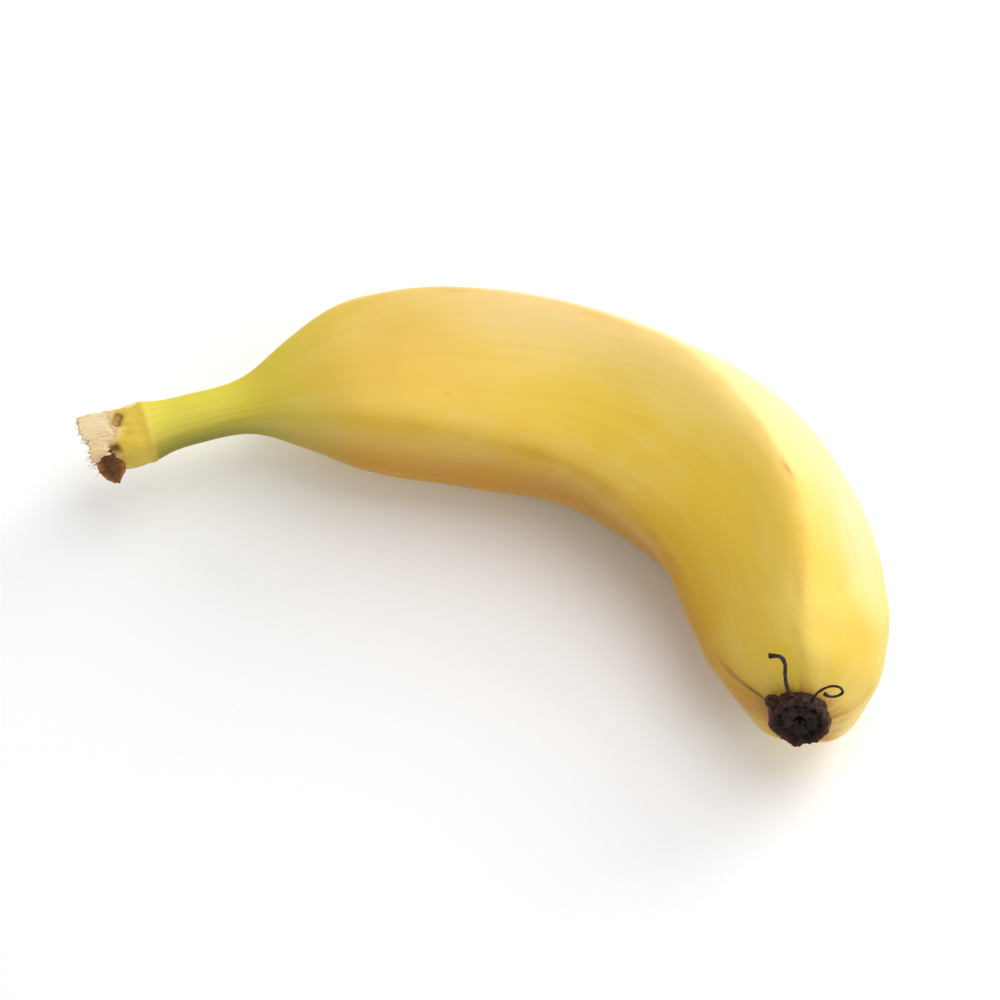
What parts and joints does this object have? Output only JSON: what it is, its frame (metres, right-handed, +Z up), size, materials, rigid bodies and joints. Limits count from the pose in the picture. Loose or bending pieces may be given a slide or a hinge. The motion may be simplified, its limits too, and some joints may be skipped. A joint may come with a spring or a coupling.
{
  "type": "banana",
  "caption": "Whole ripe banana lying on its side: a bowed, ridged peel with a torn stalk heel, and the dry flower remnant with its thin filaments at the tip.",
  "frame": {"origin": "on the surface that the fruit lies on, below the middle of its bounding box", "axes": "+X runs along the longest extent, from the torn stalk to the flower end; +Z is up, the shortest extent as the fruit lies; the hollow side of the bow faces -Y"},
  "size_m": [0.1638, 0.073, 0.04],
  "materials": {
    "peel": "ripe yellow banana peel, satin and slightly waxy, greenish at the stalk",
    "dried_flower": "dry black-brown plant tissue, rough and pitted",
    "dried_filament": "dry mauve-brown plant thread, matte"
  },
  "bodies": {
    "root": {"fruit": "peel", "flower_remnant": "dried_flower", "filament_hooked": "dried_filament", "filament_looped": "dried_filament"}
  },
  "joints": []
}
